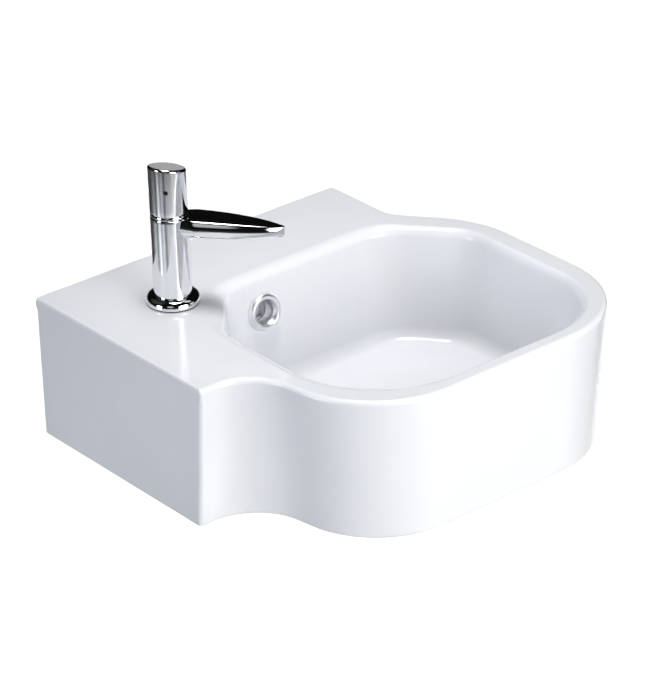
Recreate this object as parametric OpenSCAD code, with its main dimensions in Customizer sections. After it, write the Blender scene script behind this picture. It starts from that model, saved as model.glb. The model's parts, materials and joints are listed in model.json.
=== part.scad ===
// Corner wall-hung basin with a single pillar tap, an overflow and a push plug.
// The back face (Y = 0) hangs on one wall and the left face on the other, the
// bowl is to the front and right, and the tap stands on the deck in the corner.
// Millimetres, +Z up. The origin is midway between the two wall bolt holes, on
// the back face.

/* [Basin outline] */
// Overall width along the back wall
basin_w = 420; // [418:1:422]
// Overall depth from the back wall to the front
basin_d = 398.4; // [396:0.5:400]
// Overall height of the basin
basin_h = 144.4; // [142:0.2:150]
// Length of the straight back face
back_len = 363.7; // [360:0.5:366]
// Length of the left wall face
side_len = 252.9; // [248:0.5:256]
// Sideways lean of the free faces from rim to foot
draft = 10.4; // [8:0.2:11]
// Width of the soft roll on the outer rim
rim_roll = 5; // [3:0.5:6]

/* [Corner radii of the outline] */
// Front right corner
rad_front_right = 107.2; // [100:0.5:110]
// Front left corner of the bowl
rad_front_left = 102.4; // [98:0.5:104]
// Bulge on the right side
rad_right_bulge = 117.7; // [110:0.5:120]
// Hollow beside the right end face
rad_right_hollow = 31.6; // [28:0.5:34]
// Hollow beside the tap deck
rad_left_hollow = 47.2; // [42:0.5:50]

/* [Bowl] */
// Depth of the bowl floor below the rim
bowl_depth = 112; // [109:0.5:113]
// Lean of the bowl walls, rim to floor
bowl_draft = 8; // [6:0.5:9]
// Radius between the bowl wall and the floor
floor_rad = 14; // [12:0.5:18]
// Thickness of the china
china_t = 12; // [11:0.5:12.5]

/* [Positions] */
// Tap centre from the left wall face
tap_x = 90.9; // [90:0.1:92]
// Tap centre from the back wall
tap_y = 94.8; // [94:0.1:95.5]
// Waste centre from the left wall face
waste_x = 215; // [213:0.5:217]
// Waste centre from the back wall
waste_y = 270; // [268:0.5:272]
// Overflow centre from the left wall face
over_x = 184.5; // [183:0.5:186]
// Overflow centre below the rim
over_z = 37.7; // [36.7:0.1:38.7]
// Distance between the two wall bolt holes
bolt_pitch = 180; // [178:0.5:182]
// Radius of a wall bolt hole
bolt_r = 7; // [6:0.25:7.5]
// Wall bolt holes from the left wall face to the middle of the pair
bolt_mid = 182; // [180:0.5:184]
// Wall bolt holes below the rim
bolt_drop = 60; // [58:0.5:62]

/* [Tap] */
// Radius of the tap column
tap_r = 18; // [17.8:0.1:18.2]
// Height of the column above the deck
column_h = 89.5; // [88.5:0.1:90.5]
// Height of the middle of the handle's slanted top above the deck
handle_top = 138.2; // [137:0.2:140]
// Slope of the handle's top in degrees
top_slope = 13.5; // [10:0.5:18]
// Direction in which the handle's top falls, in degrees from +X
top_fall = 22; // [10:1:40]
// Direction of the spout, in degrees from +X towards the front
spout_dir = 46; // [44:0.5:48]
// Reach of the spout from the column's axis
spout_reach = 107; // [105:0.5:109]
// Radius of the half inch tail
tail_r = 10.48; // [10.4:0.01:10.5]

/* [Waste] */
// Radius of the inch and a quarter waste tail
waste_r = 20.95; // [20.8:0.01:21]
// Radius of the waste flange
flange_r = 31.5; // [31:0.1:32]
// Radius of the hole in the china for the waste
waste_hole_r = 22.5; // [22.3:0.1:23]
// Travel of the push plug
plug_travel = 8; // [6:0.5:8]

/* [Hidden] */
$fn = 64;

// every piece is drawn from the left rear corner at rim level, then moved so
// that the origin is midway between the wall bolt holes
module place() { translate([-bolt_mid, 0, bolt_drop]) children(); }
module at_tap() { place() translate([tap_x, -tap_y, 0]) children(); }
// the waste is drawn under a bowl floor 99 down and moved to this one
sink = 99 - bowl_depth;
module at_waste() { place() translate([waste_x, -waste_y, sink]) children(); }
// the tap's head is drawn on a column 92.6 high and moved to this column's top
head = column_h - 92.6;
module at_head() { at_tap() translate([0, 0, head]) children(); }
module along_spout() { at_head() rotate([0, 0, -spout_dir]) children(); }

// ---- outlines: straight edges pushed in or out, then rounded corners --------
function unit(v) = v / norm(v);
function cross2(a, b) = a[0] * b[1] - a[1] * b[0];
// the corner where two lines meet, each given by a point and a direction
function meet(p, d, q, e) = p + d * (cross2(q - p, e) / cross2(d, e));
// an outline whose edge i runs from P[i] to P[i+1], pushed inwards by D[i]
function push(P, D) = let (n = len(P)) [for (i = [0:n - 1])
    let (h = (i + n - 1) % n, j = (i + 1) % n,
         d0 = unit(P[i] - P[h]), d1 = unit(P[j] - P[i]),
         q0 = P[i] + [-d0[1], d0[0]] * D[h], q1 = P[i] + [-d1[1], d1[0]] * D[i])
    meet(q0, d0, q1, d1)];
// rounds each corner with its own radius, k steps to a corner
function rounded(P, R, k) = let (n = len(P)) [for (i = [0:n - 1])
    let (a = unit(P[(i + n - 1) % n] - P[i]), b = unit(P[(i + 1) % n] - P[i]),
         phi = acos(a * b), c = P[i] + unit(a + b) * R[i] / sin(phi / 2),
         s = P[i] + a * R[i] / tan(phi / 2), e = P[i] + b * R[i] / tan(phi / 2),
         t0 = atan2(s[1] - c[1], s[0] - c[0]), t1 = atan2(e[1] - c[1], e[0] - c[0]),
         dt = (t1 - t0 > 180) ? t1 - t0 - 360 : (t1 - t0 < -180) ? t1 - t0 + 360 : t1 - t0)
    for (m = [0:k]) c + R[i] * [cos(t0 + dt * m / k), sin(t0 + dt * m / k)]];
function lift(L, z) = [for (p = L) [p[0], p[1], z]];
// closes a stack of rings, lowest first, each turning left seen from above
module skin(rings) {
    n = len(rings[0]); m = len(rings);
    polyhedron(points = [for (r = rings) for (p = r) p],
        faces = concat([[for (i = [0:n - 1]) i]],
            [[for (i = [n - 1:-1:0]) (m - 1) * n + i]],
            [for (j = [0:m - 2]) for (i = [0:n - 1]) let (i2 = (i + 1) % n)
                [j * n + i, (j + 1) * n + i, (j + 1) * n + i2]],
            [for (j = [0:m - 2]) for (i = [0:n - 1]) let (i2 = (i + 1) % n)
                [j * n + i, (j + 1) * n + i2, j * n + i2]]),
        convexity = 8);
}

// ---- the basin's outline, at the rim ---------------------------------------
OUT = [[0, 0], [0, -side_len], [55.5, -side_len], [80.6, -basin_d], [basin_w, -basin_d],
       [basin_w, -156.2], [back_len, -86.6], [back_len, 0]];
// f pushes the free faces in, w the two wall faces; c rounds the wall corner
function basin_ring(z, f, w, c, k = 7) = lift(rounded(
    push(OUT, [w, f, f, f, f, f, f, w]),
    [c, max(2.5, c), rad_left_hollow + f, rad_front_left - f, rad_front_right - f,
     rad_right_bulge - f, rad_right_hollow + f, max(2.5, c)], k), z);
function lean(z) = -z * draft / basin_h;
// inside of the apron, china_t in from the outside
function apron_ring(z) = basin_ring(z, lean(z) + china_t, china_t, 6);

// ---- the bowl's opening ------------------------------------------------------
BOWL = [[90.1, -172.2], [90.1, -378], [392.7, -378], [392.7, -172.2], [336, -105], [144.9, -105]];
BOWL_R = [42, 105, 84, 45, 38, 42];     // corner radii at the rim
BOWL_LOW = [75, 105, 84, 62, 66, 42];    // and lower down
// d pushes every wall in; b more at the back and left, for the wide soft roll;
// q, 0 at the rim and 1 at the floor, leans the left and back walls further
function bowl_ring(z, d, b = 0, q = 0, k = 7) = let (s = max(0, min(1, (d + roll) / (bowl_draft + roll))))
    lift(rounded(push(BOWL, [d + b * 0.8 + left_lean * q, d, d, d + b * 0.4 + back_lean * q / 2,
            d + b + back_lean * q, d + b * 1.4]),
        [for (i = [0:5]) BOWL_R[i] + (BOWL_LOW[i] - BOWL_R[i]) * s - d * 0.6], k), z);
roll = 6.5;        // width of the roll on the bowl's edge
roll_back = 8;     // extra width of the roll at the back
left_lean = 10;    // extra lean of the left wall, rim to floor
back_lean = 6;     // and of the back wall
module bowl_space() skin(concat(
    [for (t = [90, 78, 62, 45, 28, 12]) bowl_ring(-bowl_depth + floor_rad * (1 - sin(t)),
        bowl_draft + floor_rad * (1 - cos(t)), 0, 1)],
    [bowl_ring(-bowl_depth + floor_rad, bowl_draft, 0, 1)],
    [for (t = [0, 25, 50, 72, 90]) bowl_ring(-9 + 9 * sin(t),
        -roll * (1 - cos(t)), -roll_back * (1 - cos(t)))],
    [bowl_ring(6, -roll, -roll_back)]));
// the china round the bowl, china_t thick
module bowl_shell() skin(concat(
    [for (t = [90, 60, 30]) bowl_ring(-bowl_depth - china_t + (floor_rad + china_t) * (1 - sin(t)),
        bowl_draft - china_t + (floor_rad + china_t) * (1 - cos(t)), 0, 1)],
    [bowl_ring(-bowl_depth + floor_rad, bowl_draft - china_t, 0, 1),
     bowl_ring(-4, -china_t)]));
// deck, apron and foot in one skin: up inside the hollow, round the foot, up
// the outside and over the rim
module tray() skin([
    apron_ring(-china_t),
    apron_ring(-basin_h),
    basin_ring(-basin_h, lean(-basin_h) + 1, 0.8, 4),
    basin_ring(-basin_h + 1, lean(-basin_h + 1), 0, 4),
    basin_ring(-13.5, lean(-13.5), 0, 4),
    basin_ring(-10, lean(-10), 0, 1.2),
    basin_ring(-rim_roll, lean(-rim_roll), 0, 1.2),
    basin_ring(-rim_roll * 0.45, 0.9, 0.25, 1.4),
    basin_ring(-rim_roll * 0.12, 2.6, 1, 1.8),
    basin_ring(0, rim_roll, 2.2, 2.5)]);

// the overflow channel: down behind the bowl, then forward to the waste hole
chan_dir = atan2(waste_y - 104, waste_x - over_x);
module channel(w, y0, y1, z0, z1, zt) {
    translate([over_x - w / 2, -y1, z0]) cube([w, y1 - y0, zt - z0]);
    translate([over_x, -104, z0]) rotate([0, 0, -chan_dir])
        translate([-4, -w / 2, 0]) cube([norm([waste_x - over_x, waste_y - 104]) + 4, w, z1 - z0]);
}

module basin_body() color([0.95, 0.96, 0.97]) place() difference() {
    union() {
        tray();
        intersection() {
            union() {
                bowl_shell();
                // boss round the waste hole
                translate([waste_x, -waste_y, sink - 123]) cylinder(r = 44, h = 22);
                channel(34, 84, 118, sink - 123, sink - 107, -14);
            }
            skin([basin_ring(-basin_h, lean(-basin_h) + 3, 3, 4), basin_ring(-3, 3, 3, 4)]);
        }
    }
    bowl_space();
    channel(20, 91, 99, sink - 117, sink - 111, -22);
    // overflow hole, tap hole, waste hole and its shallow seat
    at_overflow() translate([0, 0, -12]) cylinder(r = 12.2, h = 30);
    translate([tap_x, -tap_y, -20]) cylinder(r = 17.5, h = 40);
    translate([waste_x, -waste_y, sink - 130]) cylinder(r = waste_hole_r, h = 60);
    translate([waste_x, -waste_y, sink - 103]) cylinder(r = 33.5, h = 20);
    // wall bolt holes
    for (s = [-1, 1]) translate([bolt_mid + s * bolt_pitch / 2, 5, -bolt_drop])
        rotate([90, 0, 0]) cylinder(r = bolt_r, h = 24);
}

// the bowl's back wall at the overflow: its distance from the back wall, and its
// lean. Along this frame's +Z one leaves the wall square to it.
over_y = 105 + (bowl_draft + back_lean) * (over_z - 9) / (bowl_depth - floor_rad - 9);
over_lean = atan((bowl_draft + back_lean) / (bowl_depth - floor_rad - 9));
module at_overflow() translate([over_x, -over_y, -over_z]) rotate([90 - over_lean, 0, 0]) children();
// chromed ring on the bowl's back wall, with its sleeve in the overflow hole
module overflow_ring() color([0.8, 0.82, 0.84]) place() at_overflow() rotate_extrude() polygon(concat(
    [[10.2, -9], [11.4, -9], [11.6, 0.1], [17.8, 0.1], [18.2, 0.5], [18.2, 2.4]],
    [for (t = [15:15:75]) [15.4 + 2.8 * cos(t), 2.4 + 4 * sin(t)]],
    [[14.6, 6.4], [13.4, 6.1], [12.6, 5.3], [11.4, 3.2], [10.6, 1.6], [10.2, 0]]));

// ---- the tap -----------------------------------------------------------------
module ring(ro, ri, z0, z1) translate([0, 0, z0]) difference() {
    cylinder(r = ro, h = z1 - z0);
    translate([0, 0, -1]) cylinder(r = ri, h = z1 - z0 + 2);
}
module hex_nut(af, ri, z0, z1) translate([0, 0, z0]) difference() {
    intersection() {
        cylinder(r = af / sqrt(3), h = z1 - z0, $fn = 6);
        rotate_extrude($fn = 64) polygon([[0, 0], [af / 2, 0], [af / 2 + 3, 1.6],
            [af / 2 + 3, z1 - z0 - 1.6], [af / 2, z1 - z0], [0, z1 - z0]]);
    }
    translate([0, 0, -1]) cylinder(r = ri, h = z1 - z0 + 2);
}

module tap_base_seal() color([0.12, 0.12, 0.13]) at_tap() ring(24.6, 11.2, 0, 1.2);

// domed foot ring round the bottom of the column
module tap_base_ring() color([0.8, 0.82, 0.84]) at_tap() rotate_extrude() polygon(concat(
    [[tap_r + 0.05, 1.2], [25.2, 1.2], [25.6, 1.7], [25.6, 2.6]],
    [for (t = [10:16:90]) [18.9 + 6.7 * cos(t), 2.8 + 6.9 * sin(t)]],
    [[tap_r + 0.35, 9.7], [tap_r + 0.05, 9.3]]));

spout_z = 83.4;    // height of the spout's water way
module tap_body() color([0.8, 0.82, 0.84]) at_tap() difference() {
    rotate_extrude() polygon([[0, 1.2], [tap_r - 0.4, 1.2], [tap_r, 1.6], [tap_r, column_h - 1.2],
        [tap_r - 0.4, column_h - 0.4], [tap_r - 1.2, column_h], [0, column_h]]);
    cylinder(r = tail_r + 0.05, h = 16);                         // socket for the tail
    cylinder(r = 7, h = 56);                                     // inlet
    translate([0, 0, 58 + head]) cylinder(r = 12, h = 40);              // cartridge chamber
    rotate([0, 0, -spout_dir]) translate([0, 0, spout_z + head]) rotate([0, 90, 0])
        cylinder(r = 6.05, h = 30);                              // socket for the spout
}

// The spout: flat on top, rounded below, narrowing to a blunt tip. Its top
// bends down towards the tip and its underside runs level.
function step(t) = let (q = max(0, min(1, t))) q * q * (3 - 2 * q);
function spout_half(d) = let (t = max(0, min(1, d / spout_reach)))
    17 * pow(1 - pow(t, 2.6), 0.62) * (0.8 + 0.2 * step((d - 10) / 16));
function spout_top(d) = 92.5 - 9.6 * pow(max(0, d - 12) / (spout_reach - 12), 1.55);
function spout_low(d) = 71.2 + 0.6 * d / spout_reach + 2 * pow(max(0, d - 97) / 10, 2.5);
// half of the section, from the top's edge down the bulging side to the bottom
function spout_side(d) = let (W = max(0.5, spout_half(d)), w = W * 0.88, a = spout_top(d), b = spout_low(d),
        e = min(1.6, w * 0.4), c = a - 0.42 * (a - b), p = 0.9 - 0.35 * step((d - 18) / 46))
    concat([for (t = [0, 45, 90]) [w - e + e * sin(t), a - e + e * cos(t)]],
           [for (t = [20, 10]) [W * cos(t), c + (a - e - c) * sin(t) / 0.475]],
           [for (k = [0:6]) let (t = 13 * k) [W * pow(cos(t), p), c - (c - b) * pow(sin(t), 0.9)]]);
function spout_ring(d) = let (s = spout_side(d), m = len(s) - 1)
    concat([for (q = s) [d, -q[0], q[1]]], [[d, 0, spout_low(d)]],
           [for (i = [m:-1:0]) [d, s[i][0], s[i][1]]]);
module tap_spout() color([0.8, 0.82, 0.84]) along_spout() difference() {
    union() {
        difference() {
            skin([for (d = [8, 24, 38, 50, 60, 69, 77, 84, 90, 95, 99, 102, 104.5, 106, 106.9])
                spout_ring(d)]);
            cylinder(r = tap_r + 0.02, h = 150);
        }
        translate([0, 0, spout_z]) rotate([0, 90, 0]) translate([0, 0, 12.2])
            cylinder(r = 6, h = 20);                             // spigot into the column
    }
    // water way, falling towards the aerator's well
    translate([0, 0, spout_z]) rotate([0, 92.2, 0]) translate([0, 0, 10]) cylinder(r = 3, h = 77);
    translate([aer_d, 0, 60]) cylinder(r = 6.55, h = 22.6);
}
aer_d = 84;        // aerator from the column's axis
module aerator_housing() color([0.8, 0.82, 0.84]) along_spout() translate([aer_d, 0, 0])
    difference() {
        rotate_extrude() polygon([[0, 72.6], [6.1, 72.6], [6.5, 73], [6.5, 78], [0, 78]]);
        translate([0, 0, 60]) cylinder(r = 4.3, h = 13.8);
        translate([0, 0, 73.6]) cylinder(r = 5.2, h = 10);
    }
module aerator_insert() color([0.85, 0.86, 0.86]) along_spout() translate([aer_d, 0, 73.7])
    difference() {
        cylinder(r = 5.1, h = 4.2);
        for (k = [0:5]) rotate([0, 0, k * 60]) translate([2.9, 0, -1]) cylinder(r = 0.9, h = 8, $fn = 24);
        translate([0, 0, -1]) cylinder(r = 0.9, h = 8, $fn = 24);
    }
module aerator_seal() color([0.12, 0.12, 0.13]) along_spout() translate([aer_d, 0, 0])
    ring(6.4, 4, 78.1, 79.5);

module tap_tail() color([0.72, 0.58, 0.32]) at_tap() difference() {
    translate([0, 0, -62]) rotate_extrude() polygon([[0, 0], [tail_r - 1, 0], [tail_r, 1.2],
        [tail_r, 31.5], [tail_r - 0.9, 32.1], [tail_r - 0.9, 33], [tail_r, 33.6],
        [tail_r, 77.4], [0, 77.4]]);
    translate([0, 0, -63]) cylinder(r = 6.5, h = 90);
}
module tap_rubber_washer() color([0.12, 0.12, 0.13]) at_tap() ring(24, 10.6, -china_t - 2, -china_t);
module tap_metal_washer() color([0.75, 0.76, 0.78]) at_tap() ring(23, 10.6, -china_t - 3.5, -china_t - 2);
module tap_back_nut() color([0.72, 0.58, 0.32]) at_tap()
    hex_nut(30, tail_r + 0.04, -china_t - 11.5, -china_t - 3.5);

// quarter turn valve: a fixed and a turning ceramic disc inside a cartridge
module cartridge_seal() color([0.12, 0.12, 0.13]) at_head() ring(9.4, 5, 58, 61);
module cartridge_body() color([0.72, 0.58, 0.32]) at_head() difference() {
    translate([0, 0, 61]) cylinder(r = 11.9, h = 28.4);
    translate([0, 0, 60]) cylinder(r = 9, h = 20);
    translate([0, 0, 70]) cylinder(r = 5.2, h = 30);
    for (s = [0, 180]) rotate([0, 0, s - spout_dir]) translate([4, -4, 71])
        cube([12, 8, 8.5]);
    translate([0, 0, 84.5]) cylinder(r = 7.4, h = 10);
}
module two_holes(r, off) for (s = [-1, 1]) translate([s * off, 0, -1]) cylinder(r = r, h = 8, $fn = 32);
module ceramic_fixed_disc() color([0.93, 0.92, 0.88]) at_head() translate([0, 0, 61.2]) difference() {
    cylinder(r = 8.9, h = 3.5);
    two_holes(2.4, 4.8);
}
module ceramic_moving_disc() color([0.9, 0.89, 0.86]) at_head() translate([0, 0, 64.8]) difference() {
    cylinder(r = 8.6, h = 3);
    rotate([0, 0, 90]) two_holes(2.4, 4.8);
    translate([-7.2, -1.1, 1.6]) cube([14.4, 2.2, 3]);
}
spline_top = 128;
module spindle() color([0.72, 0.58, 0.32]) at_head() difference() {
    union() {
        translate([0, 0, 68]) cylinder(r = 8.4, h = 2.3);
        translate([-7, -1, 66.6]) cube([14, 2, 2]);
        translate([0, 0, 68]) cylinder(r = 5.1, h = 30);
        for (k = [0:2]) rotate([0, 0, 30 * k]) translate([-2.9, -2.9, 97]) cube([5.8, 5.8, spline_top - 97]);
    }
    // groove for the O-ring
    translate([0, 0, 81.4]) difference() {
        cylinder(r = 7, h = 2);
        translate([0, 0, -1]) cylinder(r = 4, h = 4);
    }
}
module spindle_o_ring() color([0.12, 0.12, 0.13]) at_head() translate([0, 0, 82.4])
    rotate_extrude() translate([4.6, 0]) circle(r = 0.54, $fn = 20);
module cartridge_retaining_nut() color([0.72, 0.58, 0.32]) at_head() difference() {
    union() {
        translate([0, 0, 89.5]) cylinder(r = 11.9, h = 3.2);
        translate([0, 0, 92.6]) cylinder(r = 19 / sqrt(3), h = 3.6, $fn = 6);
    }
    translate([0, 0, 88]) cylinder(r = 5.5, h = 12);
}
module handle_collar() color([0.8, 0.82, 0.84]) at_tap() rotate_extrude() polygon([
    [13.2, column_h + 0.05], [16.7, column_h + 0.05], [17.4, column_h + 0.5], [17.7, column_h + 1.4],
    [17.5, column_h + 2.6], [17, column_h + 3.6], [16.4, column_h + 4], [13.2, column_h + 4]]);
hb = 96.9;         // underside of the handle
grub_z = 121.8;    // height of the grub screw
grub_a = -134;     // its direction, in degrees from +X
module slant(up) translate([0, 0, handle_top - head + up]) rotate([0, 0, top_fall]) rotate([0, top_slope, 0])
    translate([-60, -60, 0]) cube([120, 120, 60]);
module tap_handle() color([0.8, 0.82, 0.84]) at_head() difference() {
    rotate_extrude() polygon([[0, hb], [tap_r - 0.5, hb], [tap_r, hb + 0.5], [tap_r, 160], [0, 160]]);
    slant(0);
    // the edge of the slanted top, eased twice
    difference() {
        slant(-1.8);
        slant_core(16.2);
    }
    difference() {
        slant(-0.6);
        slant_core(15);
    }
    translate([0, 0, hb - 1]) cylinder(r = 14, h = 7);
    translate([0, 0, hb - 1]) cylinder(r = 4.2, h = spline_top + 1.3 - hb);
    translate([0, 0, grub_z]) rotate([0, 0, grub_a]) rotate([0, 90, 0]) cylinder(r = 2.05, h = 30);
}
module slant_core(r) translate([0, 0, 90]) cylinder(r = r, h = 80);
module handle_grub_screw() color([0.3, 0.31, 0.33]) at_head() translate([0, 0, grub_z])
    rotate([0, 0, grub_a]) rotate([0, 90, 0]) difference() {
        translate([0, 0, 4.3]) cylinder(r = 2, h = 11);
        translate([0, 0, 13]) cylinder(r = 1.1, h = 4, $fn = 6);
    }

// ---- the waste and its push plug -------------------------------------------
slot_n = 4;
module waste_body() color([0.8, 0.82, 0.84]) at_waste() difference() {
    union() {
        rotate_extrude() polygon([[17.5, -185], [waste_r - 1, -185], [waste_r, -184], [waste_r, -143],
            [waste_r - 0.8, -142.4], [waste_r - 0.8, -141.4], [waste_r, -140.8], [waste_r, -102],
            [flange_r - 0.6, -102], [flange_r, -101.4], [flange_r, -100.2], [flange_r - 0.6, -99.2],
            [flange_r - 2.4, -98.6], [28, -98.4], [26, -99], [23.4, -100.6], [20, -103.6], [17.5, -107.5]]);
        // hub on three arms that carries the plug's guide
        translate([0, 0, -134]) cylinder(r = 10.5, h = 8);
        for (k = [0:2]) rotate([0, 0, 90 + 120 * k]) translate([0, -1.6, -134]) cube([18.5, 3.2, 8]);
    }
    translate([0, 0, -140]) cylinder(r = 8.05, h = 20);
    for (k = [0:slot_n - 1]) rotate([0, 0, 360 / slot_n * k + 12]) translate([10, -5, -117])
        cube([20, 10, 9]);
}
module waste_flange_seal() color([0.12, 0.12, 0.13]) at_waste() ring(31, 23, -103, -102);
module waste_under_seal() color([0.12, 0.12, 0.13]) at_waste() rotate_extrude() polygon([
    [waste_r + 0.08, -128], [30, -128], [30, -124.5], [28.5, -123], [waste_r + 0.08, -123]]);
module waste_washer() color([0.9, 0.9, 0.88]) at_waste() ring(29.5, waste_r + 0.1, -129.6, -128);
module waste_back_nut() color([0.72, 0.58, 0.32]) at_waste() difference() {
    hex_nut(54, waste_r + 0.05, -139.6, -129.6);
}
module plug_guide() color([0.9, 0.9, 0.88]) at_waste() difference() {
    union() {
        translate([0, 0, -134]) cylinder(r = 8, h = 22);
        translate([0, 0, -126]) cylinder(r = 10, h = 2);
    }
    translate([0, 0, -140]) cylinder(r = 3.56, h = 40);
}
// wire spring between the guide and the cap, swept along its own coil
sp_turns = 6; sp_n = 15; sp_w = 0.6; sp_r = 5.2; sp_z0 = -111.3; sp_z1 = -94.8;
function coil_pt(t) = [sp_r * cos(360 * t), sp_r * sin(360 * t), sp_z0 + (sp_z1 - sp_z0) * t / sp_turns];
module plug_spring() color([0.7, 0.71, 0.73]) at_waste() {
    m = sp_turns * sp_n;
    polyhedron(points = [for (i = [0:m]) for (k = [0:5]) let (t = i / sp_n, c = coil_pt(t),
            o = [cos(360 * t), sin(360 * t), 0])
            c + o * sp_w * cos(60 * k) + [0, 0, sp_w * sin(60 * k)]],
        faces = concat([[for (k = [0:5]) k]], [[for (k = [5:-1:0]) m * 6 + k]],
            [for (i = [0:m - 1]) for (k = [0:5]) let (l = (k + 1) % 6) [i * 6 + k, (i + 1) * 6 + k, (i + 1) * 6 + l]],
            [for (i = [0:m - 1]) for (k = [0:5]) let (l = (k + 1) % 6) [i * 6 + k, (i + 1) * 6 + l, i * 6 + l]]),
        convexity = 10);
}
module plug_stem() color([0.75, 0.76, 0.78]) at_waste() difference() {
    translate([0, 0, -139]) cylinder(r = 3.5, h = 48.2);
    translate([0, 0, -136.3]) difference() {
        cylinder(r = 6, h = 1.4);
        translate([0, 0, -1]) cylinder(r = 2.6, h = 4);
    }
}
module stem_clip() color([0.35, 0.36, 0.38]) at_waste() translate([0, 0, -136.1]) difference() {
    cylinder(r = 6.2, h = 1);
    translate([0, 0, -1]) cylinder(r = 2.66, h = 4);
    translate([0, -1.8, -1]) cube([8, 3.6, 4]);
}
module plug_cap() color([0.8, 0.82, 0.84]) at_waste() difference() {
    rotate_extrude() polygon(concat([[0, -94], [6, -94], [6, -90], [26.6, -90], [26.6, -88.6], [28.6, -88.6],
        [28.6, -90], [29.4, -90], [30, -89.2]],
        [for (t = [0:10:90]) [30 * cos(t * 0.99), -88.6 + 4.6 * sin(t)]], [[0, -84]]));
    translate([0, 0, -95]) cylinder(r = 3.55, h = 4.5);
}
module plug_seal() color([0.12, 0.12, 0.13]) at_waste() ring(28.55, 26.65, -90.1, -88.65);

basin_body();
overflow_ring();
tap_base_seal();
tap_base_ring();
tap_body();
tap_spout();
aerator_housing();
aerator_insert();
aerator_seal();
tap_tail();
tap_rubber_washer();
tap_metal_washer();
tap_back_nut();
cartridge_seal();
cartridge_body();
ceramic_fixed_disc();
ceramic_moving_disc();
spindle();
spindle_o_ring();
cartridge_retaining_nut();
handle_collar();
tap_handle();
handle_grub_screw();
waste_body();
waste_flange_seal();
waste_under_seal();
waste_washer();
waste_back_nut();
plug_guide();
plug_spring();
plug_stem();
stem_clip();
plug_cap();
plug_seal();
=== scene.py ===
import json
import math

import bpy
import bmesh
import numpy as np
from mathutils import Matrix, Vector


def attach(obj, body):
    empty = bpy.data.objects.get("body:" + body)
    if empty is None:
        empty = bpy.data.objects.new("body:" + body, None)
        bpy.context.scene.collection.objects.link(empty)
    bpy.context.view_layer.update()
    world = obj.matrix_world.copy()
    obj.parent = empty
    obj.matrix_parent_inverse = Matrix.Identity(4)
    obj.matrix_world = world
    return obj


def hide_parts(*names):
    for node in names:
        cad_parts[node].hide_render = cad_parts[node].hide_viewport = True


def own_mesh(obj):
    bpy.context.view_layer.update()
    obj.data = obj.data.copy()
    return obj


# The look of the corner basin. Shapes are drawn in millimetres from the left
# rear corner of the rim (u to the right, y towards the wall, z up from the
# rim), like the CAD source, and moved into the frame by place().

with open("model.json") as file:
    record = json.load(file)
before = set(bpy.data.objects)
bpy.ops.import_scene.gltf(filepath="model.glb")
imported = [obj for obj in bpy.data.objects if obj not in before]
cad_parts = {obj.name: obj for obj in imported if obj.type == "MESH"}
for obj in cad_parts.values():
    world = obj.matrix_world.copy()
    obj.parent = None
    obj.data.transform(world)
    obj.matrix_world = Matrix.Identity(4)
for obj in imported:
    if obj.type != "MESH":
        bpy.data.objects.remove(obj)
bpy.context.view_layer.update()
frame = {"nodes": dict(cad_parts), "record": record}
NODES = frame["nodes"]

MM = 0.001
SCENE = bpy.context.scene


# ---------------------------------------------------------------- helpers ---
def new_object(name, verts, faces, mats=(), face_mat=None):
    me = bpy.data.meshes.new(name)
    me.from_pydata(np.asarray(verts, float).tolist(), [], faces)
    for m in mats:
        me.materials.append(m)
    if face_mat is not None:
        me.polygons.foreach_set("material_index", np.asarray(face_mat, np.int32))
    me.update()
    o = bpy.data.objects.new(name, me)
    SCENE.collection.objects.link(o)
    return o


def skin(rings, band_mat=None, cap_mat=(0, 0), loop=False):
    """Quads between rings of the same length. With loop, the last ring joins the first."""
    n, m = len(rings[0]), len(rings)
    verts = np.vstack(rings)
    faces, mat = [], []
    for j in range(m if loop else m - 1):
        a, b = j * n, ((j + 1) % m) * n
        for i in range(n):
            k = (i + 1) % n
            faces.append((a + i, a + k, b + k, b + i))
            mat.append(band_mat[j] if band_mat else 0)
    if not loop:
        faces.append(tuple(range(n - 1, -1, -1)))
        faces.append(tuple((m - 1) * n + i for i in range(n)))
        mat += list(cap_mat)
    return verts, faces, mat


def lathe(profile, n=96, centre=(0, 0)):
    """Turns a closed outline of (r, z) points, listed so that the solid is on its left, about an upright axis."""
    rings = []
    t = np.arange(n) * 2 * math.pi / n
    for r, z in profile:
        rings.append(np.column_stack([centre[0] + r * np.cos(t), centre[1] + r * np.sin(t), np.full(n, float(z))]))
    return rings


def lathe_solid(name, profile, mats, n=96, centre=(0, 0)):
    """A closed ring when no point is on the axis, else a solid with discs at its ends."""
    if profile[0][0] < 1e-6:
        profile = profile[1:]
    if profile[-1][0] < 1e-6:
        profile = profile[:-1]
        rings = lathe(profile, n, centre)
        v, f, m = skin(rings)
    else:
        rings = lathe(profile, n, centre)
        v, f, m = skin(rings, loop=True)
    return new_object(name, v, f, mats)


def fix_normals(o):
    bm = bmesh.new()
    bm.from_mesh(o.data)
    bmesh.ops.recalc_face_normals(bm, faces=bm.faces)
    bm.to_mesh(o.data)
    bm.free()


def evaluated(o):
    """Applies o's modifiers to its mesh."""
    dg = bpy.context.evaluated_depsgraph_get()
    me = bpy.data.meshes.new_from_object(o.evaluated_get(dg))
    old = o.data
    o.modifiers.clear()
    o.data = me
    me.name = o.name
    bpy.data.meshes.remove(old)
    return o


def boolean(a, op, *tools):
    for b in tools:
        m = a.modifiers.new("cut", "BOOLEAN")
        m.operation = op
        m.object = b
        m.solver = "MANIFOLD"
        m.material_mode = "TRANSFER"
        evaluated(a)
        bpy.data.objects.remove(b)
    return a


def smooth(o, angle=34, weighted=True):
    me = o.data
    me.polygons.foreach_set("use_smooth", [True] * len(me.polygons))
    me.set_sharp_from_angle(angle=math.radians(angle))
    if weighted:
        m = o.modifiers.new("wn", "WEIGHTED_NORMAL")
        m.keep_sharp = True
        m.weight = 50
        evaluated(o)
    return o


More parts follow.
